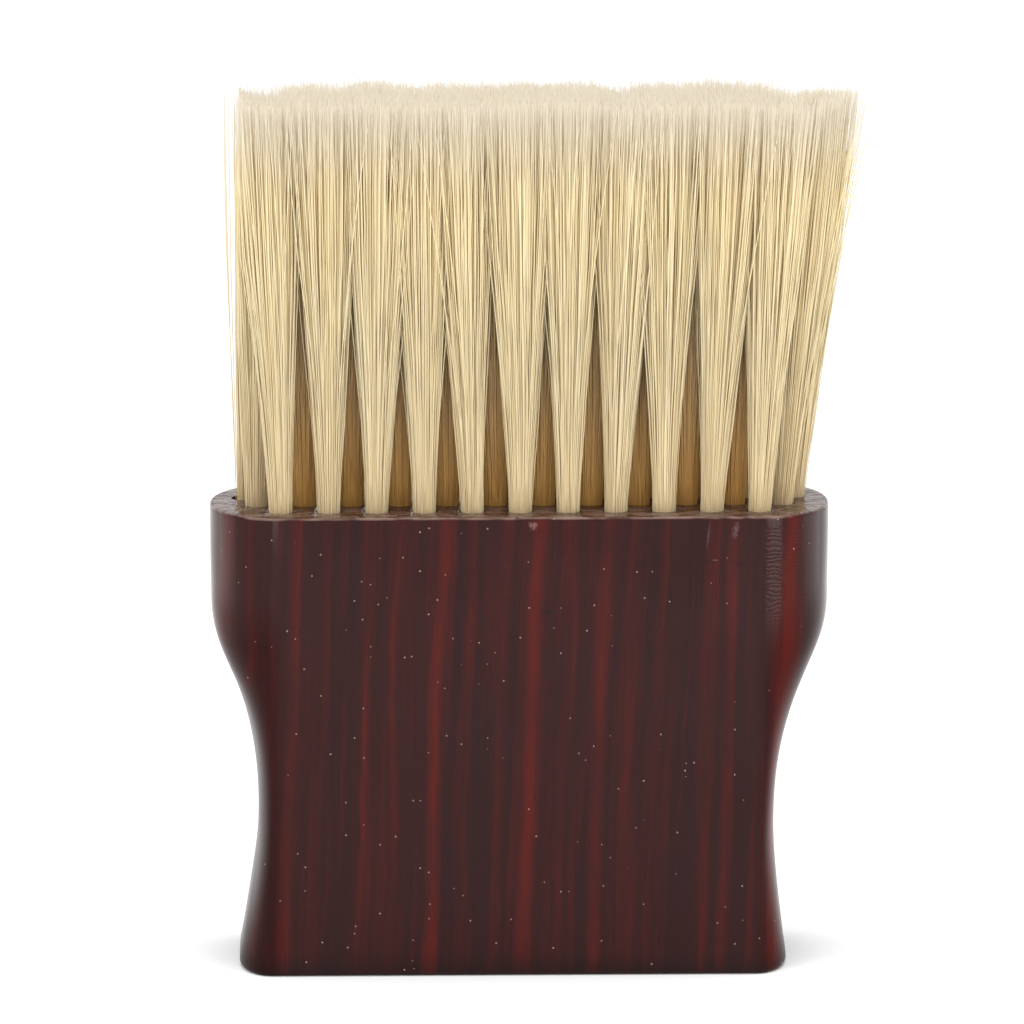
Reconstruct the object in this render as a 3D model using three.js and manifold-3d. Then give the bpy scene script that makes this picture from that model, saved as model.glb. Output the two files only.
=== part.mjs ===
// Neck duster brush: a flat, waisted wooden handle whose wide head is drilled with staggered rows of
// blind holes. Each hole holds one tuft, a bundle of bristles folded in two over a small metal anchor.
//
// Millimetres, +Z up. The brush stands on its base with the bristles up: the origin is the centre of the
// flat base, +X runs along the rows of tufts, and -Y is the front.
import * as THREE from "three";
import { mergeVertices } from "three/addons/utils/BufferGeometryUtils.js";
import Module from "manifold-3d";

const wasm = await Module();
wasm.setup();

// Handle. Widths are measured from the middle of the handle out to one end.
const HEIGHT = 81;
const THICKNESS = 32;
const HEAD_HALF = 53.7;
const WAIST_HALF = 44.9;
const BASE_HALF = 47.7;
const FLAT_HALF = 42; // the front and back faces are flat this far out, and the ends are rounded beyond
const WAIST_HEIGHT = 25.6; // where the handle is narrowest
const HEAD_HEIGHT = 64.8; // the head's ends stand upright above this height
const WAIST_PULL = 51.6; // how far up the waist's curve holds before it swings out to the head
const HEAD_PULL = 51.7;
const FLARE_PULL = 17.2; // the same below the waist, where the curve swings out to the base
const BASE_PULL = 3.6;
const HEAD_CORNER = 15.6; // depth of the rounded corners: nearly half the thickness at the head
const WAIST_CORNER = 7.7;
const FOOT_RADIUS = 1; // rounding of the bottom edge
const TOP_CHAMFER = 0.5;

// Holes and tufts.
const PITCH = 8.26; // spacing of the tufts along a row
const WIDE_PITCH = 7.95; // the longest row is drilled slightly closer, to stay off the rounded ends
const ROW_SPACING = 6.4;
const HOLE_RADIUS = 2.3;
const HOLE_DEPTH = 10;
const GAP = 0.3; // clearance between touching pieces
const FREE_LENGTH = 70.5; // bristle length above the head
const ROOT_RADIUS = HOLE_RADIUS - GAP;
const FOLD_HEIGHT = 0.8; // the rounded bottom of the folded bundle
const MIDDLE_SHARE = 0.46; // part of the free length by which a tuft has opened out
const MIDDLE_RADIUS = 3.4;
const TIP_RADIUS = 3.6;
const TIP_DOME = 2.5;
const LEAN_X = 0.05; // how far a tuft's tips move outward, as a share of its distance from the middle
const LEAN_Y = 0.12;
const ROWS = [
  { name: "row1", count: 11, pitch: PITCH, place: -1.5 },
  { name: "row2", count: 12, pitch: PITCH, place: -0.5 },
  { name: "row3", count: 13, pitch: WIDE_PITCH, place: 0.5 },
  { name: "row4", count: 10, pitch: PITCH, place: 1.5 },
];

// Anchors: flat metal strips across the holes, each inside a tunnel through the folded root of its tuft.
// All the tufts have one. The front row's are modelled, and the other rows' are identical.
const ANCHOR_LENGTH = 3.9;
const ANCHOR_THICKNESS = 0.5;
const ANCHOR_HEIGHT = 1.8;
const ANCHOR_RISE = 2.5; // height of an anchor's middle above the bottom of its hole
const ANCHORED_ROW = "row1";

// Fineness of the round shapes.
const CORNER_STEPS = 8;
const PROFILE_STEPS = 7;
const FOOT_STEPS = 4;
const HOLE_SIDES = 10;

const wood = new THREE.MeshStandardMaterial({ color: 0x4e2b27, roughness: 0.3, metalness: 0 });
const bristle = new THREE.MeshStandardMaterial({ color: 0xdecba0, roughness: 0.65, metalness: 0 });
const metal = new THREE.MeshStandardMaterial({ color: 0xb8995a, roughness: 0.35, metalness: 1 });

const group = new THREE.Group();

function addMesh(name, geometry, material) {
  const mesh = new THREE.Mesh(geometry, material);
  mesh.name = name;
  group.add(mesh);
}

// A closed geometry as a solid that can be joined and cut.
function toSolid(geometry) {
  const bare = new THREE.BufferGeometry();
  bare.setAttribute("position", geometry.getAttribute("position"));
  bare.setIndex(geometry.getIndex());
  const merged = mergeVertices(bare, 1e-3);
  return new wasm.Manifold(
    new wasm.Mesh({
      numProp: 3,
      vertProperties: merged.getAttribute("position").array,
      triVerts: new Uint32Array(merged.getIndex().array),
    }),
  );
}

function toGeometry(solid) {
  const mesh = solid.getMesh();
  const geometry = new THREE.BufferGeometry();
  geometry.setAttribute("position", new THREE.BufferAttribute(mesh.vertProperties, 3));
  geometry.setIndex(new THREE.BufferAttribute(mesh.triVerts, 1));
  geometry.computeVertexNormals();
  return geometry;
}

// The handle's outline at one height: flat front and back, with a rounded corner at each end of both.
// The inset pulls the whole outline in, to round the bottom edge and break the top one.
function sectionOutline({ half, height, inset }) {
  const corner = THREE.MathUtils.mapLinear(half, WAIST_HALF, HEAD_HALF, WAIST_CORNER, HEAD_CORNER);
  const centreY = THICKNESS / 2 - corner;
  const outline = [];
  for (let quarter = 0; quarter < 4; quarter++) {
    const signX = quarter === 1 || quarter === 2 ? -1 : 1;
    const signY = quarter < 2 ? 1 : -1;
    const arc = new THREE.EllipseCurve(
      signX * FLAT_HALF,
      signY * centreY,
      half - FLAT_HALF - inset,
      corner - inset,
      (quarter * Math.PI) / 2,
      ((quarter + 1) * Math.PI) / 2,
    );
    outline.push(...arc.getPoints(CORNER_STEPS).map((p) => new THREE.Vector3(p.x, p.y, height)));
  }
  return outline;
}

// The handle's sections from the base up: the rounded foot, the flare, the waist and the upright head.
function handleSections() {
  const foot = [];
  for (let i = 0; i < FOOT_STEPS; i++) {
    const angle = (i / FOOT_STEPS) * (Math.PI / 2);
    foot.push({
      half: BASE_HALF,
      height: FOOT_RADIUS * (1 - Math.cos(angle)),
      inset: FOOT_RADIUS * (1 - Math.sin(angle)),
    });
  }
  const end = new THREE.Path();
  end.moveTo(BASE_HALF, FOOT_RADIUS);
  end.bezierCurveTo(BASE_HALF, BASE_PULL, WAIST_HALF, FLARE_PULL, WAIST_HALF, WAIST_HEIGHT);
  end.bezierCurveTo(WAIST_HALF, WAIST_PULL, HEAD_HALF, HEAD_PULL, HEAD_HALF, HEAD_HEIGHT);
  end.lineTo(HEAD_HALF, HEIGHT - TOP_CHAMFER);
  const body = end.getPoints(PROFILE_STEPS).map((p) => ({ half: p.x, height: p.y, inset: 0 }));
  const top = { half: HEAD_HALF, height: HEIGHT, inset: TOP_CHAMFER };
  return [...foot, ...body, top];
}

// A closed skin through outlines that all have the same number of points, with a flat cap on each end.
function loft(outlines) {
  const size = outlines[0].length;
  const last = (outlines.length - 1) * size;
  const faces = [];
  for (let level = 0; level < outlines.length - 1; level++) {
    for (let i = 0; i < size; i++) {
      const a = level * size + i;
      const b = level * size + ((i + 1) % size);
      faces.push(a, b, b + size, a, b + size, a + size);
    }
  }
  for (const [a, b, c] of THREE.ShapeUtils.triangulateShape(outlines[0], [])) {
    faces.push(a, c, b, last + a, last + b, last + c);
  }
  const geometry = new THREE.BufferGeometry().setFromPoints(outlines.flat());
  geometry.setIndex(faces);
  return geometry;
}

function drill(x, y) {
  const length = HOLE_DEPTH + 1;
  const cutter = new THREE.CylinderGeometry(HOLE_RADIUS, HOLE_RADIUS, length, HOLE_SIDES);
  cutter.rotateX(Math.PI / 2);
  cutter.translate(x, y, HEIGHT - HOLE_DEPTH + length / 2);
  return toSolid(cutter);
}

function makeHandle(holes) {
  let block = toSolid(loft(handleSections().map(sectionOutline)));
  for (const { x, y } of holes) {
    block = block.subtract(drill(x, y));
  }
  return toGeometry(block);
}

// A tuft: straight inside its hole, opening out above the head and leaning away from the middle.
function makeTuft(x, y) {
  const root = HEIGHT - HOLE_DEPTH + GAP;
  const profile = [
    new THREE.Vector2(0, root),
    new THREE.Vector2(ROOT_RADIUS - FOLD_HEIGHT, root),
    new THREE.Vector2(ROOT_RADIUS, root + FOLD_HEIGHT),
    new THREE.Vector2(ROOT_RADIUS, HEIGHT),
    new THREE.Vector2(MIDDLE_RADIUS, HEIGHT + FREE_LENGTH * MIDDLE_SHARE),
    new THREE.Vector2(TIP_RADIUS, HEIGHT + FREE_LENGTH - TIP_DOME),
    new THREE.Vector2(TIP_RADIUS / 2, HEIGHT + FREE_LENGTH - TIP_DOME / 5),
    new THREE.Vector2(0, HEIGHT + FREE_LENGTH),
  ];
  const tuft = new THREE.LatheGeometry(profile, HOLE_SIDES);
  tuft.rotateX(Math.PI / 2);
  tuft.translate(x, y, 0);
  const points = tuft.getAttribute("position");
  for (let i = 0; i < points.count; i++) {
    const rise = Math.max(0, points.getZ(i) - HEIGHT) / FREE_LENGTH;
    points.setX(i, points.getX(i) + x * LEAN_X * rise);
    points.setY(i, points.getY(i) + y * LEAN_Y * rise);
  }
  return tuft;
}

function placeAnchor(geometry, x, y) {
  return geometry.translate(x, y, HEIGHT - HOLE_DEPTH + ANCHOR_RISE);
}

// The tuft with the tunnel that its anchor lies in, open at both sides of the folded root.
function threadTuft(tuft, x, y) {
  const tunnel = new THREE.BoxGeometry(
    2 * HOLE_RADIUS,
    ANCHOR_THICKNESS + 2 * GAP,
    ANCHOR_HEIGHT + 2 * GAP,
  );
  return toGeometry(toSolid(tuft).subtract(toSolid(placeAnchor(tunnel, x, y))));
}

function makeAnchor(x, y) {
  return placeAnchor(new THREE.BoxGeometry(ANCHOR_LENGTH, ANCHOR_THICKNESS, ANCHOR_HEIGHT), x, y);
}

// One place for each hole, numbered along its row.
function holePlaces() {
  return ROWS.flatMap(({ name, count, pitch, place }) =>
    Array.from({ length: count }, (_, i) => ({
      row: name,
      label: `${name}_${String(i + 1).padStart(2, "0")}`,
      x: (i - (count - 1) / 2) * pitch,
      y: place * ROW_SPACING,
    })),
  );
}

const places = holePlaces();
addMesh("handle", makeHandle(places), wood);
for (const { row, label, x, y } of places) {
  const tuft = makeTuft(x, y);
  if (row === ANCHORED_ROW) {
    addMesh(`tuft_${label}`, threadTuft(tuft, x, y), bristle);
    addMesh(`anchor_${label}`, makeAnchor(x, y), metal);
  } else {
    addMesh(`tuft_${label}`, tuft, bristle);
  }
}

export default group;
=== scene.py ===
"""Neck duster brush: the lacquered wooden handle, the tufts of bristle filaments and their metal anchors,
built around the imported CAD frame. Lengths in this file are in millimetres, and become metres where a
mesh is made, except on the stage, which is in metres. The brush stands on its base, +X runs along the
rows of tufts, and -Y is the front."""
import math

import bmesh
import bpy
import numpy as np
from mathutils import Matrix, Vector


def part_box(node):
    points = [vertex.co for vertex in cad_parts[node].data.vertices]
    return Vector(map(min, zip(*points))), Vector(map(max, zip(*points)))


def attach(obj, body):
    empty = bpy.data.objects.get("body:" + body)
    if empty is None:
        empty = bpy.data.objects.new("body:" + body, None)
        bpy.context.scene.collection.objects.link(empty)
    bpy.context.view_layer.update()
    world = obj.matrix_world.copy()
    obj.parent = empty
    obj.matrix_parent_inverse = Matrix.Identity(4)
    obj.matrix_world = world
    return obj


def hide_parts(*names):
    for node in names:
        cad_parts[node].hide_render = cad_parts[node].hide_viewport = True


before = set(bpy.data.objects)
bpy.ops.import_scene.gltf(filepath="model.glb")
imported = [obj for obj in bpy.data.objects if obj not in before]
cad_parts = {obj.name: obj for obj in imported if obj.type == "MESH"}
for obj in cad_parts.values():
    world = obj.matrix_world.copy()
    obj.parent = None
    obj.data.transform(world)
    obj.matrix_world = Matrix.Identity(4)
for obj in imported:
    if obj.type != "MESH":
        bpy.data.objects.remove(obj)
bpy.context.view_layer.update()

MM = 0.001

# ---------------------------------------------------------------- driving dimensions

# The handle's size comes from its CAD node, and its end curves repeat the CAD design. Widths are measured
# from the middle of the handle out to one end.
HANDLE_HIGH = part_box("handle")[1] / MM
HEIGHT = HANDLE_HIGH.z
HALF_THICKNESS = HANDLE_HIGH.y
HEAD_HALF = HANDLE_HIGH.x
WAIST_HALF = 44.9
BASE_HALF = 47.7
FLAT_HALF = 42.0  # the front and back faces are flat this far out, and the ends are rounded beyond
WAIST_HEIGHT = 25.6  # where the handle is narrowest
HEAD_HEIGHT = 64.8  # the head's ends stand upright above this height
BASE_PULL = 3.6  # heights of the points that pull the end curves, from the base up to the head
FLARE_PULL = 17.2
WAIST_PULL = 51.6
HEAD_PULL = 51.7
FOOT_RADIUS = 1.0
TOP_RADIUS = 0.45
BASE_LEAN = 1.2  # how far the base sits to one side of the head
LEAN_HEIGHT = 50.0  # the handle bends over to that side below this height
HEAD_CORNER = 15.6  # depth of the rounded corners, at the head, the waist and the base
WAIST_CORNER = 12.5
BASE_CORNER = 10.2
HOLE_RADIUS = 2.15
HOLE_DEPTH = 10.0
MOUTH_RADIUS = 0.2  # rounding of a hole's mouth
POINT_HEIGHT = 0.8  # the drill's blunt point, at the bottom of a hole
POINT_RADIUS = 0.6

# Fineness of the handle's mesh: steps from the base up, then points around each section.
FOOT_STEPS = 9
FLARE_STEPS = 30
SHOULDER_STEPS = 50
HEAD_STEPS = 26
TOP_STEPS = 7
CORNER_POINTS = 26
FACE_POINTS = 168
END_POINTS = 4
HOLE_SIDES = 36

# Bristles.
FREE_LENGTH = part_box("tuft_row1_06")[1].z / MM - HEIGHT  # from the middle tuft of the front row
ROOT_DEPTH = 8.5  # how far the filaments reach down into their hole
ROOT_RADIUS = 1.93
FILAMENTS = 640
FILAMENT_SIDES = 4
FILAMENT_RADIUS = 0.085
OPENING = 1.6  # a tuft opens out by this many times its root's radius
STRANDS = 40  # groups of filaments that cling together in one tuft
TIP_RISE = 0.6  # the tips reach this far above the simple CAD tufts
ANCHOR_CLEARANCE = 0.5  # the filaments pass an anchor's middle plane at this distance, on both sides
LEFT_EDGE = -48.0  # the filaments at the -X end are held inside this line
PUSH = 3.4  # the tufts past PUSH_START lean outward, by this much at PUSH_WIDTH farther out
PUSH_START = 12.0
PUSH_WIDTH = 36.0
STRAY_SHARE = 0.12  # filaments that leave their bundle
FREE_SHARE = 0.03  # filaments that aren't fully held in at the -X end
# The tufts inside these limits get a deeper painted shade at their roots.
SHELTERED_X = 39.0  # the tufts inside these distances stand in the shelter of the others
SHELTERED_Y = HALF_THICKNESS / 3

# The export bakes through a map of this name, so the filaments keep their own layout there.
STRAND_MAP = "OFBake"


# ---------------------------------------------------------------- helpers

def add_object(name, data):
    thing = bpy.data.objects.new(name, data)
    bpy.context.scene.collection.objects.link(thing)
    return thing


def finish_piece(piece, material, slot, *nodes):
    """Gives a piece its material and ties it to the frame."""
    piece.data.materials.clear()
    piece.data.materials.append(material)
    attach(piece, "root")
    if nodes:
        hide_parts(*nodes)


def smooth_step(value, low, high):
    """Rises smoothly from 0 at the low value to 1 at the high one."""
    share = np.clip((value - low) / (high - low), 0, 1)
    return share * share * (3 - 2 * share)


# ---------------------------------------------------------------- handle

def bezier(points, count):
    """Points along a cubic curve, without its last one."""
    t = np.linspace(0, 1, count, endpoint=False)[:, None]
    a, b, c, d = (np.array(p, float) for p in points)
    return a * (1 - t) ** 3 + 3 * b * t * (1 - t) ** 2 + 3 * c * t * t * (1 - t) + d * t ** 3


def handle_levels():
    """(half width, height, inset) of every section from the base up."""
    levels = []
    for angle in np.linspace(0, math.pi / 2, FOOT_STEPS, endpoint=False):
        levels.append((BASE_HALF, FOOT_RADIUS * (1 - math.cos(angle)), FOOT_RADIUS * (1 - math.sin(angle))))
    flare = [
        (BASE_HALF, FOOT_RADIUS),
        (BASE_HALF, BASE_PULL),
        (WAIST_HALF, FLARE_PULL),
        (WAIST_HALF, WAIST_HEIGHT),
    ]
    shoulder = [
        (WAIST_HALF, WAIST_HEIGHT),
        (WAIST_HALF, WAIST_PULL),
        (HEAD_HALF, HEAD_PULL),
        (HEAD_HALF, HEAD_HEIGHT),
    ]
    for curve, count in ((flare, FLARE_STEPS), (shoulder, SHOULDER_STEPS)):
        levels += [(half, height, 0.0) for half, height in bezier(curve, count)]
    for height in np.linspace(HEAD_HEIGHT, HEIGHT - TOP_RADIUS, HEAD_STEPS, endpoint=False):
        levels.append((HEAD_HALF, height, 0.0))
    for angle in np.linspace(0, math.pi / 2, TOP_STEPS):
        levels.append(
            (HEAD_HALF, HEIGHT - TOP_RADIUS * (1 - math.sin(angle)), TOP_RADIUS * (1 - math.cos(angle)))
        )
    return levels


def handle_section(half, height, inset):
    """The outline at one height: flat front and back, and a rounded corner at each end of both."""
    corner = BASE_CORNER + (WAIST_CORNER - BASE_CORNER) * smooth_step(height, 0, WAIST_HEIGHT)
    corner += (HEAD_CORNER - WAIST_CORNER) * smooth_step(height, WAIST_HEIGHT, HEAD_HEIGHT)
    centre = HALF_THICKNESS - corner
    angles = np.linspace(0, math.pi / 2, CORNER_POINTS)
    arc_x = FLAT_HALF + (half - FLAT_HALF - inset) * np.cos(angles)
    arc_y = centre + (corner - inset) * np.sin(angles)
    face_x = np.linspace(FLAT_HALF, -FLAT_HALF, FACE_POINTS + 2)[1:-1]
    face_y = np.full(FACE_POINTS, HALF_THICKNESS - inset)
    end_x = np.full(END_POINTS, -half + inset)
    end_y = np.linspace(centre, -centre, END_POINTS + 2)[1:-1]
    x = np.concatenate([arc_x, face_x, -arc_x[::-1], end_x])
    y = np.concatenate([arc_y, face_y, arc_y[::-1], end_y])
    x = np.concatenate([x, -x])
    y = np.concatenate([y, -y])
    return np.column_stack([x, y, np.full(len(x), height)])


def hand_made(points):
    """Waves the skin in and out by about a tenth of a millimetre, as sanding by hand leaves it, and leans
    the lower part over to one side."""
    rng = np.random.default_rng(11)
    depth = np.zeros(len(points))
    for _ in range(14):
        wave = rng.normal(0, 1, 3) * (0.22, 0.3, 0.16)
        depth += np.sin(points @ wave + rng.uniform(0, 2 * math.pi))
    depth *= 0.022
    across = np.stack([points[:, 0] / HEAD_HALF, points[:, 1] / HALF_THICKNESS], axis=1)
    side = np.abs(across) ** 8
    side /= np.maximum(side.sum(axis=1, keepdims=True), 1e-9)
    fade = smooth_step(points[:, 2], 0, 6)
    moved = points.copy()
    moved[:, :2] += np.sign(across) * side * (depth * fade)[:, None]
    moved[:, 0] -= BASE_LEAN * np.clip(1 - points[:, 2] / LEAN_HEIGHT, 0, 1)
    return moved


def make_handle(roots, material):
    """The wood block with a rounded mouth on every hole."""
    sections = np.array([handle_section(*level) for level in handle_levels()])
    count = sections.shape[1]
    shape = bmesh.new()
    skin = hand_made(sections.reshape(-1, 3))
    rings = [
        [shape.verts.new(Vector(p) * MM) for p in skin[i * count:(i + 1) * count]]
        for i in range(len(sections))
    ]
    join_rings(shape, rings)
    shape.faces.new(list(reversed(rings[0])))
    rims = edges_of(shape, rings[-1])
    for x, y in roots:
        hole = [ring_of(shape, x, y, radius, height) for radius, height in hole_profile()]
        join_rings(shape, list(reversed(hole)))
        shape.faces.new(hole[-1])
        rims += edges_of(shape, hole[0])
    bmesh.ops.triangle_fill(shape, edges=rims, use_beauty=True, normal=(0, 0, 1))
    bmesh.ops.recalc_face_normals(shape, faces=shape.faces)
    mesh = bpy.data.meshes.new("handle_wood")
    shape.to_mesh(mesh)
    shape.free()
    mesh.shade_smooth()
    mesh.set_sharp_from_angle(angle=math.radians(38))
    piece = add_object("handle_wood", mesh)
    finish_piece(piece, material, "lacquered_wood", "handle")


def hole_profile():
    """(radius, height) down a hole: a small rounded mouth, the wall, and the drill's blunt point."""
    profile = [
        (
            HOLE_RADIUS + MOUTH_RADIUS * (1 - math.sin(angle)),
            HEIGHT - MOUTH_RADIUS * (1 - math.cos(angle)),
        )
        for angle in np.linspace(0, math.pi / 2, 5)
    ]
    profile.append((HOLE_RADIUS, HEIGHT - HOLE_DEPTH + POINT_HEIGHT))
    profile.append((POINT_RADIUS, HEIGHT - HOLE_DEPTH))
    return profile


def ring_of(shape, x, y, radius, height):
    return [
        shape.verts.new(Vector((x + radius * math.cos(a), y + radius * math.sin(a), height)) * MM)
        for a in np.linspace(0, 2 * math.pi, HOLE_SIDES, endpoint=False)
    ]


def edges_of(shape, ring):
    return [shape.edges.get(ends) for ends in zip(ring, ring[1:] + ring[:1])]


def join_rings(shape, rings):
    for lower, upper in zip(rings, rings[1:]):
        for i in range(len(lower)):
            j = (i + 1) % len(lower)
            shape.faces.new((lower[i], lower[j], upper[j], upper[i]))


# ---------------------------------------------------------------- bristles

def opening(rise):
    """How far a tuft has opened out at each share of its free length: slowly, quickly, then hardly at all."""
    return np.tanh((np.clip(rise, 0, 1) / 0.65) ** 1.5)


def outward_lean(x):
    """How far the tips stand to the side of their root. The +X end has been pushed outward by use."""
    return PUSH * np.clip((x - PUSH_START) / PUSH_WIDTH, 0, 1.2) ** 2


def hold_left(x, rise):
    """The -X end has been packed straight: filaments that would spread past it are pressed together."""
    edge = LEFT_EDGE + 0.8 * rise ** 2
    past = np.maximum(edge - x, 0)
    return np.where(x < edge, edge - (1 - np.exp(-past)), x)


def tip_contour(x):
    """The trimmed tops rise and fall a little along the brush."""
    return 0.15 * np.sin(x * 0.21 + 0.6) + 0.12 * np.sin(x * 0.53 + 2.0) + 0.06 * np.sin(x * 1.13)


def root_pattern(rng):
    """Where each filament stands in a root of radius 1, evenly packed, and how far out that is."""
    number = np.arange(FILAMENTS)
    turn = number * math.pi * (3 - math.sqrt(5)) + rng.uniform(0, 2 * math.pi)
    reach = np.sqrt((number + 0.5) / FILAMENTS)
    offset = np.stack([np.cos(turn), np.sin(turn)], axis=1) * reach[:, None]
    offset += rng.normal(0, 0.02, offset.shape)
    return offset, reach


def gather(rng, offset):
    """Each filament's strand, and its place once it has been drawn towards the middle of that strand."""
    middles = rng.uniform(-1, 1, (STRANDS, 2))
    distance = np.linalg.norm(offset[:, None] - middles[None], axis=2)
    strand = distance.argmin(axis=1)
    pull = rng.uniform(0, 0.5, FILAMENTS)[:, None]
    return strand, offset + (middles[strand] - offset) * pull


def bends(rng, strand, rise):
    """Sideways bends: one for each strand, each filament's own, the strays' large ones and a slight sway."""
    bend = rng.normal(0, 0.5, (STRANDS, 2))[strand] + rng.normal(0, 0.45, (FILAMENTS, 2))
    stray = rng.random(FILAMENTS) < STRAY_SHARE
    bend[stray] += rng.normal(0, 2.2, (stray.sum(), 2))
    sway = rng.normal(0, 0.16, (FILAMENTS, 1, 2))
    return bend[:, None] * (rise ** 1.7)[None, :, None] + sway * np.sin(rise * math.pi * 2.2)[None, :, None]


def lean_over(rng, place, x, y, rise):
    """Moves a tuft's filaments from the middle of the brush to its root, leaning outward from there."""
    lean_x = outward_lean(x) + x * 0.02 + rng.normal(0, 1.0)
    place[..., 0] += x + lean_x * rise
    place[..., 1] += y + y * 0.1 * rise
    free = rng.random(FILAMENTS) < FREE_SHARE
    held = hold_left(place[..., 0], rise)
    place[..., 0] = np.where(free[:, None], place[..., 0] * 0.5 + held * 0.5, held)


def filament_heights(rng, heights, tip_x):
    """Each filament's own heights: the tips are trimmed to a contour, but not all to the same length."""
    longer = TIP_RISE + tip_contour(tip_x) + rng.normal(0, 0.3, FILAMENTS) - rng.exponential(0.35, FILAMENTS)
    return HEIGHT + heights * np.where(heights > 0, 1 + longer[:, None] / FREE_LENGTH, 1)


def clear_anchor(place, y):
    """Moves the filaments' lower ends aside, so that they pass the anchor's flat strip on both sides."""
    aside = place[:, 0, 1] - y
    near = np.abs(aside) < ANCHOR_CLEARANCE
    place[near, 0, 1] = y + np.where(aside > 0, ANCHOR_CLEARANCE, -ANCHOR_CLEARANCE)[near]


def tuft_paths(rng, x, y):
    """Centre lines of a tuft's filaments, as an array of filament, ring and coordinate, their radii, and
    each filament's column in the UV map: its strand, then how far out it stands in the bundle."""
    heights = np.array([-ROOT_DEPTH, -0.5, 6, 16, 29, 44, 58, FREE_LENGTH])  # above the head's top
    rise = np.clip(heights / FREE_LENGTH, 0, 1)
    offset, reach = root_pattern(rng)
    strand, gathered = gather(rng, offset)
    wide = rng.uniform(0.85, 1.25) + rng.normal(0, 0.22, (FILAMENTS, 1))

    share = opening(rise)[None, :, None]
    late = (rise ** 1.4)[None, :, None]
    spread = offset[:, None] * (1 - late) + gathered[:, None] * late
    place = spread * ROOT_RADIUS * (1 + OPENING * wide[:, None] * share)
    place += bends(rng, strand, rise)
    lean_over(rng, place, x, y, rise)
    z = filament_heights(rng, heights, place[:, -1, 0])
    clear_anchor(place, y)

    taper = np.interp(rise, [0, 0.25, 0.6, 0.85, 1], [0.8, 1, 1.1, 0.9, 0.4])
    radius = FILAMENT_RADIUS * rng.uniform(0.8, 1.2, (FILAMENTS, 1)) * taper
    column = (strand + 0.1 + 0.8 * reach) / STRANDS
    return np.concatenate([place, z[..., None]], axis=2), radius, column


def filament_faces(count, rings):
    """The side faces of every filament, then the ends at its root and at its tip."""
    sides = FILAMENT_SIDES
    base = (np.arange(count)[:, None, None] * rings + np.arange(rings - 1)[None, :, None]) * sides
    side = np.arange(sides)[None, None]
    beside = (side + 1) % sides
    quads = np.stack([base + side, base + beside, base + beside + sides, base + side + sides], axis=-1)
    start = np.arange(count)[:, None] * rings * sides
    feet = start + np.arange(sides)[::-1]
    tips = start + (rings - 1) * sides + np.arange(sides)
    return quads.reshape(-1, 4).tolist() + feet.tolist() + tips.tolist()


def lay_out_strands(mesh, column, rings):
    """The UV map runs root to tip upward, with a column for each strand."""
    across = column[:, None, None] + np.linspace(0, 0.1 / STRANDS, FILAMENT_SIDES)
    up = np.linspace(0, 1, rings)[None, :, None]
    uv = np.stack(np.broadcast_arrays(across, up), axis=-1).reshape(-1, 2)
    corner = np.zeros(len(mesh.loops), np.int32)
    mesh.loops.foreach_get("vertex_index", corner)
    mesh.uv_layers.new(name=STRAND_MAP).data.foreach_set("uv", uv[corner].astype(np.float32).ravel())


def make_tuft(node, x, y, material):
    """One tuft of separate filaments."""
    rng = np.random.default_rng([7, *node.encode()])
    paths, radius, column = tuft_paths(rng, x, y)
    count, rings = radius.shape
    step = 2 * math.pi / FILAMENT_SIDES
    turn = rng.uniform(0, 2 * math.pi, (count, 1)) + np.arange(FILAMENT_SIDES) * step
    around = np.stack([np.cos(turn), np.sin(turn), np.zeros_like(turn)], axis=-1)
    vertices = paths[:, :, None] + around[:, None] * radius[:, :, None, None]

    mesh = bpy.data.meshes.new(node.replace("tuft", "bristles"))
    mesh.from_pydata((vertices.reshape(-1, 3) * MM).tolist(), [], filament_faces(count, rings))
    mesh.shade_smooth()
    lay_out_strands(mesh, column, rings)
    piece = add_object(mesh.name, mesh)
    finish_piece(piece, material, "bristle", node)


# ---------------------------------------------------------------- materials

# Colours of the wood, its lacquer and its marks of use, with painted shade at the foot and painted highlights
# on the top face, its edge and the dents.
DARK_STAIN = (0.018, 0.0028, 0.0030, 1)
MIDDLE_STAIN = (0.032, 0.0034, 0.0026, 1)
RED_STAIN = (0.068, 0.0040, 0.0016, 1)
PORE = (0.010, 0.0015, 0.0015, 1)
PAINTED_FOOT_SHADE = (0.006, 0.002, 0.002, 1)
BARE_TOP = (0.075, 0.038, 0.028, 1)
PAINTED_POOL_HIGHLIGHT = (0.21, 0.14, 0.12, 1)
WORN_EDGE_AND_HIGHLIGHT = (0.42, 0.27, 0.22, 1)
DUST = (0.42, 0.31, 0.28, 1)
PALE_MARK_AND_HIGHLIGHT = (0.33, 0.15, 0.14, 1)
GREY_MARK_AND_HIGHLIGHT = (0.20, 0.15, 0.17, 1)
DARK_MARK = (0.006, 0.002, 0.002, 1)

# Colours of the bristles, with painted shade at the roots and painted bounced light deep in the bundles.
WHITER_STRAND = (0.73, 0.64, 0.43, 1)
GOLDEN_STRAND = (0.71, 0.59, 0.35, 1)
INSIDE_BOUNCED_LIGHT = (0.92, 0.68, 0.29, 1)
UPPER_BRISTLE = (0.90, 0.78, 0.49, 1)
BRISTLE_TIP = (0.69, 0.63, 0.53, 1)
OPEN_ROOT_SHADE = (0.66, 0.51, 0.29, 1)
SHELTERED_ROOT_SHADE = (0.66, 0.36, 0.09, 1)

# Colours of the anchors.
DULL_BRASS = (0.55, 0.42, 0.18, 1)
BRIGHT_BRASS = (0.78, 0.63, 0.32, 1)

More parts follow.
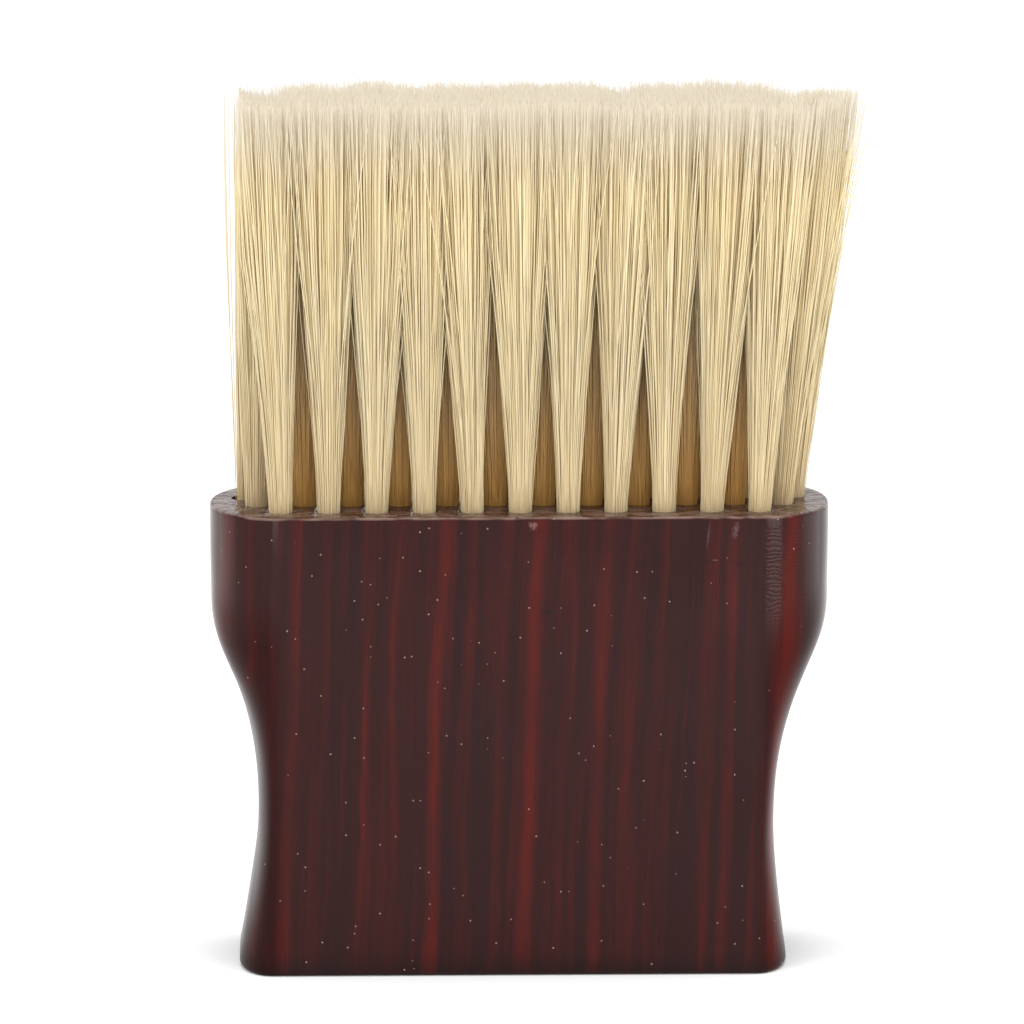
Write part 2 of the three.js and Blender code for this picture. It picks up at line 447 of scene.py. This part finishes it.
# Red streaks of the stained wood: place across the head, half width and strength.
STREAKS = [
    (-49.0, 1.6, 0.5), (-45.0, 1.0, 0.3), (-38.2, 1.5, 0.6), (-33.0, 0.9, 0.25), (-25.6, 0.9, 0.45),
    (-20.8, 1.0, 0.55), (-13.0, 1.5, 1.0), (-8.2, 0.8, 0.3), (-2.0, 0.9, 0.45), (3.0, 1.7, 0.95),
    (8.8, 0.9, 0.3), (15.2, 1.4, 0.8), (20.0, 1.0, 0.4), (24.6, 0.9, 0.4), (34.4, 1.0, 0.4),
    (37.6, 1.1, 0.6), (47.2, 2.3, 1.2),
]
STREAK_SLANT = 0.035  # the streaks move this far to one side for each millimetre upward

# Small marks of use on the front, whose pale and grey colours also paint the highlights of dents: centre,
# half width, half height, slant, strength and colour.
MARKS = [
    {"x": 2.0, "z": 79.6, "wide": 1.1, "tall": 0.9, "slant": 0.0, "strength": 0.45, "colour": PALE_MARK_AND_HIGHLIGHT},
    {"x": 36.9, "z": 78.6, "wide": 0.7, "tall": 1.8, "slant": -0.15, "strength": 0.3, "colour": GREY_MARK_AND_HIGHLIGHT},
    {"x": 32.2, "z": 77.6, "wide": 0.25, "tall": 3.0, "slant": -0.1, "strength": 0.22, "colour": GREY_MARK_AND_HIGHLIGHT},
    {"x": 33.4, "z": 73.4, "wide": 0.9, "tall": 0.16, "slant": 0.0, "strength": 0.5, "colour": PALE_MARK_AND_HIGHLIGHT},
    {"x": 32.4, "z": 73.2, "wide": 2.8, "tall": 0.22, "slant": 0.0, "strength": 0.7, "colour": DARK_MARK},
    {"x": 37.4, "z": 72.9, "wide": 1.6, "tall": 0.35, "slant": 0.0, "strength": 0.6, "colour": DARK_MARK},
    {"x": 4.7, "z": 64.4, "wide": 1.5, "tall": 0.6, "slant": 0.0, "strength": 0.8, "colour": DARK_MARK},
]


class Nodes:
    """A material's node tree, with short calls for the nodes used here."""

    def __init__(self, name):
        self.material = bpy.data.materials.new(name)
        self.material.use_nodes = True
        self.tree = self.material.node_tree
        self.shader = self.tree.nodes["Principled BSDF"]

    def add(self, kind, inputs=(), **settings):
        node = self.tree.nodes.new("ShaderNode" + kind)
        for key, value in settings.items():
            setattr(node, key, value)
        for key, value in dict(inputs).items():
            self.feed(node.inputs[key], value)
        return node

    def feed(self, socket, value):
        if isinstance(value, bpy.types.NodeSocket):
            self.tree.links.new(value, socket)
        else:
            socket.default_value = value

    def math(self, operation, *values):
        node = self.add("Math", operation=operation)
        for socket, value in zip(node.inputs, values):
            self.feed(socket, value)
        return node.outputs[0]

    def remap(self, value, low, high, to_low=0.0, to_high=1.0):
        """The value carried smoothly from one range to another, and held at the ends."""
        inputs = {"Value": value, "From Min": low, "From Max": high, "To Min": to_low, "To Max": to_high}
        return self.add("MapRange", inputs, interpolation_type="SMOOTHSTEP").outputs[0]

    def mix(self, share, first, second):
        """A mix of two colours. These are the numbers of the node's sockets for colours."""
        node = self.add("Mix", data_type="RGBA")
        self.feed(node.inputs[0], share)
        self.feed(node.inputs[6], first)
        self.feed(node.inputs[7], second)
        return node.outputs[2]

    def noise(self, vector, scale, detail=2.0, distortion=0.0):
        inputs = {"Vector": vector, "Scale": scale, "Detail": detail, "Distortion": distortion}
        return self.add("TexNoise", inputs).outputs[0]

    def vector(self, x, y, z):
        return self.add("CombineXYZ", {0: x, 1: y, 2: z}).outputs[0]

    def bump(self, height, distance, strength=1.0, after=None):
        inputs = {"Height": height, "Distance": distance, "Strength": strength}
        if after is not None:
            inputs["Normal"] = after
        return self.add("Bump", inputs).outputs[0]

    def coordinates(self):
        """The piece's own x, y and z, in millimetres."""
        place = self.add("TexCoord").outputs["Object"]
        scaled = self.add("VectorMath", {0: place, 3: 1 / MM}, operation="SCALE").outputs[0]
        return self.add("SeparateXYZ", {0: scaled}).outputs

    def set(self, **values):
        for key, value in values.items():
            self.feed(self.shader.inputs[key.replace("_", " ")], value)


def streak_place(nodes, x, y, z, quick):
    """Where a point lies across the streaks, which wander, slant, and run aside through the thickness."""
    slow = nodes.noise(nodes.vector(x, y, nodes.math("MULTIPLY", z, 0.3)), 0.05, 1.0)
    wander = nodes.math("MULTIPLY", nodes.math("SUBTRACT", slow, 0.5), 3.5)
    wander = nodes.math("ADD", wander, nodes.math("SUBTRACT", quick, 0.5))
    slant = nodes.math("MULTIPLY", nodes.math("SUBTRACT", HEIGHT, z), STREAK_SLANT)
    aside = nodes.math("MULTIPLY", nodes.math("ADD", y, HALF_THICKNESS), 0.3)
    return nodes.math("ADD", nodes.math("ADD", x, wander), nodes.math("ADD", aside, slant))


def streaks(nodes, place):
    """Strength of the red streaks, for a place across them in millimetres."""
    total = 0.0
    for centre, half_width, strength in STREAKS:
        away = nodes.math("ABSOLUTE", nodes.math("SUBTRACT", place, centre))
        streak = nodes.remap(away, 0.0, half_width * 1.5, strength, 0.0)
        total = nodes.math("ADD", total, streak)
    return total


def red_stain(nodes, place, x, y, z, fibre):
    """How red the stain is: streaks broken into patches, soft bands, fine lines and single fibres."""
    patchy = nodes.noise(nodes.vector(x, y, nodes.math("MULTIPLY", z, 0.3)), 0.16, 2.0)
    red = nodes.math("MULTIPLY", streaks(nodes, place), nodes.remap(patchy, 0.2, 0.7, 0.45, 1.15))
    grain = nodes.vector(place, nodes.math("MULTIPLY", y, 0.25), nodes.math("MULTIPLY", z, 0.03))
    bands = nodes.noise(grain, 0.25, 1.0)
    red = nodes.math("ADD", red, nodes.remap(bands, 0.3, 0.7, 0.0, 0.22))
    fine = nodes.noise(grain, 0.8, 2.0)
    red = nodes.math("ADD", red, nodes.remap(fine, 0.4, 0.8, -0.08, 0.5))
    return nodes.math("ADD", red, nodes.remap(fibre, 0.3, 0.7, -0.08, 0.08))


def stained_wood(nodes, red, x, y, z):
    """From the dark stain to the red one, with dark pores, and painted shade darkening it towards the foot.
    """
    shade = nodes.add("ValToRGB", {0: nodes.math("MULTIPLY", red, 0.8)})
    ramp = shade.color_ramp
    ramp.elements[0].color = DARK_STAIN
    ramp.elements[1].color = RED_STAIN
    ramp.elements.new(0.4).color = MIDDLE_STAIN
    pores = nodes.noise(nodes.vector(x, y, nodes.math("MULTIPLY", z, 0.12)), 3.2, 2.0)
    colour = nodes.mix(nodes.remap(pores, 0.6, 0.72, 0.0, 0.4), shade.outputs[0], PORE)
    # Painted shade: the colour darkens over the lowest 5 mm towards the foot.
    return nodes.mix(nodes.remap(z, 5.0, 0.0, 0.0, 0.6), colour, PAINTED_FOOT_SHADE)


def drilled_top(nodes, x, y, z):
    """The head's top face, where the stain is thin, with pale patches that paint the highlights of lacquer
    pooled there.
    """
    pool_highlights = nodes.noise(nodes.vector(nodes.math("MULTIPLY", x, 0.5), y, z), 0.5, 3.0, 0.8)
    return nodes.mix(nodes.remap(pool_highlights, 0.4, 0.62), BARE_TOP, PAINTED_POOL_HIGHLIGHT)


def wood_material():
    """Dark wood with red streaks along the grain, under clear lacquer."""
    nodes = Nodes("lacquered_wood")
    x, y, z = nodes.coordinates()
    quick = nodes.noise(nodes.vector(x, y, nodes.math("MULTIPLY", z, 0.3)), 0.3, 1.0)
    place = streak_place(nodes, x, y, z, quick)
    fibre = nodes.noise(nodes.vector(place, y, nodes.math("MULTIPLY", z, 0.06)), 4.0, 2.0)
    on_top = nodes.remap(z, HEIGHT - 0.3, HEIGHT - 0.05)

    colour = stained_wood(nodes, red_stain(nodes, place, x, y, z, fibre), x, y, z)
    # The top face and the start of its rounded edge, with painted highlights on the pooled lacquer.
    colour = nodes.mix(nodes.math("MULTIPLY", on_top, 0.85), colour, drilled_top(nodes, x, y, z))
    # Pale line on the top edge: rubbed-off stain and a painted highlight.
    colour = nodes.mix(edge_wear_and_highlight(nodes, x, y, z, quick), colour, WORN_EDGE_AND_HIGHLIGHT)
    colour = nodes.mix(specks(nodes, x, y, z), colour, DUST)
    # Marks of use. The pale and grey ones also paint the highlights of dents.
    for mark in MARKS:
        colour = nodes.mix(mark_strength(nodes, mark, x, y, z), colour, mark["colour"])
    nodes.set(Base_Color=colour, Roughness=0.6, Specular_IOR_Level=0.0)

    coat = nodes.math("MULTIPLY_ADD", grip_wear(nodes, x, z), -0.45, 1.0)
    nodes.set(Coat_Weight=coat, Coat_Roughness=0.12, Coat_IOR=1.26)
    normal = lacquer_relief(nodes, x, y, z, fibre, on_top)
    nodes.set(Normal=normal, Coat_Normal=normal)
    return nodes.material


def mark_strength(nodes, mark, x, y, z):
    """How strongly one mark shows: an oval on the front face with an uneven edge."""
    up = nodes.math("SUBTRACT", z, mark["z"])
    slanted = nodes.math("MULTIPLY_ADD", up, mark["slant"], -mark["x"])
    across = nodes.math("DIVIDE", nodes.math("ADD", x, slanted), mark["wide"])
    up = nodes.math("DIVIDE", up, mark["tall"])
    away = nodes.math("ADD", nodes.math("MULTIPLY", across, across), nodes.math("MULTIPLY", up, up))
    roughen = nodes.math("MULTIPLY", nodes.noise(nodes.vector(x, y, z), 2.5, 3.0), 2.4)
    oval = nodes.remap(nodes.math("ADD", away, roughen), 2.1, 0.9, 0.0, mark["strength"])
    return nodes.math("MULTIPLY", oval, nodes.math("LESS_THAN", y, 0.0))


def grip_wear(nodes, x, z):
    """Where the hand holds the ends of the handle, the lacquer has worn thin."""
    outward = nodes.remap(nodes.math("ABSOLUTE", x), FLAT_HALF - 2.0, FLAT_HALF + 1.5)
    return nodes.math("MULTIPLY", outward, nodes.remap(z, HEAD_HEIGHT + 4.0, HEAD_HEIGHT - 8.0))


def edge_wear_and_highlight(nodes, x, y, z, patches):
    """A pale line along the head's top edge: stain rubbed off by handling, and a painted highlight on the
    rounded edge.
    """
    lower = nodes.remap(z, HEIGHT - 0.5, HEIGHT - 0.2)
    rounding = nodes.math("SUBTRACT", lower, nodes.remap(z, HEIGHT - 0.12, HEIGHT))
    across = nodes.remap(nodes.math("ABSOLUTE", y), HALF_THICKNESS - 2.5, HALF_THICKNESS - 1.0)
    outward = nodes.remap(nodes.math("ABSOLUTE", x), HEAD_HALF - 3.5, HEAD_HALF - 2.0)
    rim = nodes.math("MULTIPLY", rounding, nodes.math("MAXIMUM", across, outward))
    return nodes.math("MULTIPLY", rim, nodes.remap(patches, 0.3, 0.65, 0.05, 0.4))


def specks(nodes, x, y, z):
    """Sparse pale dust caught in the lacquer."""
    cells = nodes.add("TexVoronoi", {"Vector": nodes.vector(x, y, z), "Scale": 0.7})
    chance, size, _ = nodes.add("SeparateColor", {0: cells.outputs["Color"]}).outputs
    picked = nodes.math("GREATER_THAN", chance, 0.78)
    limit = nodes.remap(size, 0.0, 1.0, 0.05, 0.11)
    dot = nodes.math("LESS_THAN", cells.outputs["Distance"], limit)
    return nodes.math("MULTIPLY", nodes.math("MULTIPLY", picked, dot), nodes.remap(size, 0.0, 1.0, 0.1, 0.6))


def lacquer_relief(nodes, x, y, z, fibre, on_top):
    """Bumps of the lacquer: open grain, sanding ripples on the +X end of the head, and waves on top."""
    grain = nodes.bump(fibre, 0.012 * MM)
    at_end = nodes.math("MULTIPLY", nodes.remap(x, 40.5, 43.0), nodes.remap(x, 52.0, 47.0))
    at_end = nodes.math("MULTIPLY", at_end, nodes.remap(z, 60.0, 73.0))
    at_end = nodes.math("MULTIPLY", at_end, nodes.remap(z, HEIGHT - 0.5, HEIGHT - 2.5))
    wavy = nodes.math("MULTIPLY", nodes.noise(nodes.vector(x, y, z), 0.5, 3.0), 16.0)
    ripple = nodes.math("SINE", nodes.math("MULTIPLY_ADD", z, 8.5, wavy))
    patchy = nodes.remap(nodes.noise(nodes.vector(x, y, z), 0.9, 2.0), 0.3, 0.65, 0.15, 1.0)
    ripple = nodes.math("MULTIPLY", ripple, nodes.math("MULTIPLY", at_end, patchy))
    ripples = nodes.bump(ripple, 0.012 * MM, 1.0, grain)
    pooled = nodes.math("MULTIPLY", nodes.noise(nodes.vector(x, y, z), 0.5, 2.0, 0.6), on_top)
    return nodes.bump(pooled, 0.6 * MM, 0.8, ripples)


def bristle_material(name, root_shade_colour, root_shade_share, root_shade_reach):
    """Cream filaments, each a little whiter or more golden, with painted shade darkening them towards the
    root, painted bounced light making those deep in the bundle brighter and more golden, and paler at the
    tip.
    The root's painted shade reaches up to root_shade_reach, a share of the length, and covers
    root_shade_share at its foot."""
    nodes = Nodes(name)
    strand_map = nodes.add("UVMap", uv_map=STRAND_MAP).outputs[0]
    across, along, _ = nodes.add("SeparateXYZ", {0: strand_map}).outputs
    column = nodes.math("MULTIPLY", across, float(STRANDS))
    strand = nodes.math("FLOOR", column)
    chance = nodes.add("TexWhiteNoise", {"W": strand}, noise_dimensions="1D").outputs[0]
    colour = nodes.mix(chance, WHITER_STRAND, GOLDEN_STRAND)
    outward = nodes.math("FRACT", column)
    # Painted bounced light: the filaments deep in the bundle are brighter and more golden.
    inside = nodes.remap(outward, 0.9, 0.3, 0.0, 0.85)
    colour = nodes.mix(inside, colour, INSIDE_BOUNCED_LIGHT)
    upper = nodes.remap(along, 0.5, 0.85, 0.0, 0.6)
    colour = nodes.mix(upper, colour, UPPER_BRISTLE)
    # Painted shade, darkening the filaments towards the root.
    root = nodes.remap(along, root_shade_reach, 0.12, 0.0, root_shade_share)
    colour = nodes.mix(root, colour, root_shade_colour)
    tip = nodes.remap(along, 0.8, 1.0)
    colour = nodes.mix(nodes.math("MULTIPLY", tip, 0.85), colour, BRISTLE_TIP)
    nodes.set(Base_Color=colour, Roughness=0.5, Specular_IOR_Level=0.15)
    return nodes.material


def brass_material():
    """Cut and pressed strip, slightly scuffed."""
    nodes = Nodes("anchor_brass")
    x, y, z = nodes.coordinates()
    scuff = nodes.noise(nodes.vector(x, nodes.math("MULTIPLY", y, 4.0), z), 2.0, 3.0)
    colour = nodes.mix(scuff, DULL_BRASS, BRIGHT_BRASS)
    nodes.set(Base_Color=colour, Metallic=1.0, Roughness=nodes.remap(scuff, 0.2, 0.8, 0.25, 0.5))
    return nodes.material


# ---------------------------------------------------------------- anchors

def make_anchor_strips(roots, material):
    """The anchors of the rows that CAD leaves out, as one piece of separate pressed strips."""
    low, high = (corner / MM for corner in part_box("anchor_row1_06"))
    size = high - low
    middle = (low + high) / 2
    shape = bmesh.new()
    for x, y in roots:
        centre = Vector((x, y, middle.z))
        for vertex in bmesh.ops.create_cube(shape, size=1)["verts"]:
            vertex.co = (vertex.co * size + centre) * MM
    bmesh.ops.bevel(shape, geom=shape.edges[:], offset=0.08 * MM, segments=2, affect="EDGES")
    mesh = bpy.data.meshes.new("anchors_rows_2_to_4")
    shape.to_mesh(mesh)
    shape.free()
    piece = add_object(mesh.name, mesh)
    finish_piece(piece, material, "anchor_metal")


# ---------------------------------------------------------------- stage, in metres

FLOOR_HALF = 4.0
CAMERA_TARGET = (-0.0012, 0, 0.0789)
CAMERA_DISTANCE = 1.5
VIEW_WIDTH = 0.1778  # width of the picture, at the distance of the brush
AZIMUTH = math.radians(-1.3)
ELEVATION = math.radians(11)
LIGHT_TARGET = (0, 0, 0.08)
LIGHTS = {
    "softbox_left": {"place": (-0.8, -0.95, 0.6), "width": 0.5, "height": 0.8, "power": 3},
    "softbox_right": {"place": (0.42, -1.0, 0.24), "width": 0.5, "height": 0.4, "power": 1},
    "softbox_front": {"place": (-0.1, -1.5, 0.9), "width": 0.8, "height": 0.4, "power": 2},
    "softbox_top": {"place": (0, -0.1, 1.3), "width": 0.5, "height": 0.35, "power": 6},
    "strip_left": {"place": (-0.34, 0.12, 0.12), "width": 0.24, "height": 0.24, "power": 0.1},
    "strip_right": {"place": (0.34, 0.1, 0.12), "width": 0.24, "height": 0.24, "power": 0.14},
    "card_left": {"place": (-0.09, -0.4, 0.05), "width": 0.05, "height": 0.1, "power": 0.05},
    "card_right": {"place": (0.18, -0.33, 0.06), "width": 0.19, "height": 0.12, "power": 0.24},
}


def make_floor():
    mesh = bpy.data.meshes.new("floor")
    half = FLOOR_HALF
    corners = [(-half, -half, 0), (half, -half, 0), (half, half, 0), (-half, half, 0)]
    mesh.from_pydata(corners, [], [(0, 1, 2, 3)])
    floor = add_object("floor", mesh)
    nodes = Nodes("pale_floor")
    nodes.set(Base_Color=(0.98, 0.98, 0.98, 1), Roughness=0.9, Specular_IOR_Level=0.0)
    mesh.materials.append(nodes.material)


def look_at(thing, place, target):
    thing.location = place
    thing.rotation_euler = (Vector(target) - Vector(place)).to_track_quat("-Z", "Y").to_euler()


def make_light(name, place, width, height, power):
    """A softbox. It lights the brush and shows in the lacquer, but isn't itself in the picture."""
    light = bpy.data.lights.new(name, "AREA")
    light.shape = "RECTANGLE"
    light.size = width
    light.size_y = height
    light.energy = power
    softbox = add_object(name, light)
    softbox.visible_camera = False
    look_at(softbox, place, LIGHT_TARGET)


def make_studio():
    """An even white surround, and the lights."""
    world = bpy.data.worlds.new("studio")
    world.use_nodes = True
    background = world.node_tree.nodes["Background"]
    background.inputs["Color"].default_value = (1.0, 1.0, 1.0, 1)
    background.inputs["Strength"].default_value = 0.95
    bpy.context.scene.world = world
    for name, light in LIGHTS.items():
        make_light(name, **light)


def make_camera():
    """A distant camera, slightly above the brush and almost square to its front."""
    target = Vector(CAMERA_TARGET)
    back = Vector((
        math.sin(AZIMUTH) * math.cos(ELEVATION),
        -math.cos(AZIMUTH) * math.cos(ELEVATION),
        math.sin(ELEVATION),
    ))
    camera = add_object("camera", bpy.data.cameras.new("camera"))
    camera.data.lens = camera.data.sensor_width * CAMERA_DISTANCE / VIEW_WIDTH
    camera.data.clip_end = 20
    look_at(camera, target + back * CAMERA_DISTANCE, target)
    bpy.context.scene.camera = camera


def root_of(node):
    """The middle of a tuft in its hole, from the part of its CAD solid that lies below the head's top."""
    places = [v.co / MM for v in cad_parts[node].data.vertices if v.co.z / MM < HEIGHT - 1]
    xs = [p.x for p in places]
    ys = [p.y for p in places]
    return (min(xs) + max(xs)) / 2, (min(ys) + max(ys)) / 2


def build():
    tufts = {name: root_of(name) for name in sorted(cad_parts) if name.startswith("tuft_")}
    make_handle(list(tufts.values()), wood_material())
    # Both bristle materials paint shade towards the roots, deeper on the sheltered inner tufts.
    outer = bristle_material("bristle", OPEN_ROOT_SHADE, 0.7, 0.65)
    inner = bristle_material("bristle_inner_shaded", SHELTERED_ROOT_SHADE, 0.95, 0.95)
    for node, (x, y) in tufts.items():
        sheltered = abs(y) < SHELTERED_Y and abs(x) < SHELTERED_X
        make_tuft(node, x, y, inner if sheltered else outer)
    brass = brass_material()
    for name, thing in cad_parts.items():
        if name.startswith("anchor_"):
            thing.material_slots[0].material = brass
    hidden = [root for node, root in tufts.items() if node.replace("tuft", "anchor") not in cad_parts]
    make_anchor_strips(hidden, brass)
    make_floor()
    make_studio()
    make_camera()
    bpy.context.scene.view_settings.view_transform = "Standard"
    bpy.context.scene.cycles.diffuse_bounces = 10


build()
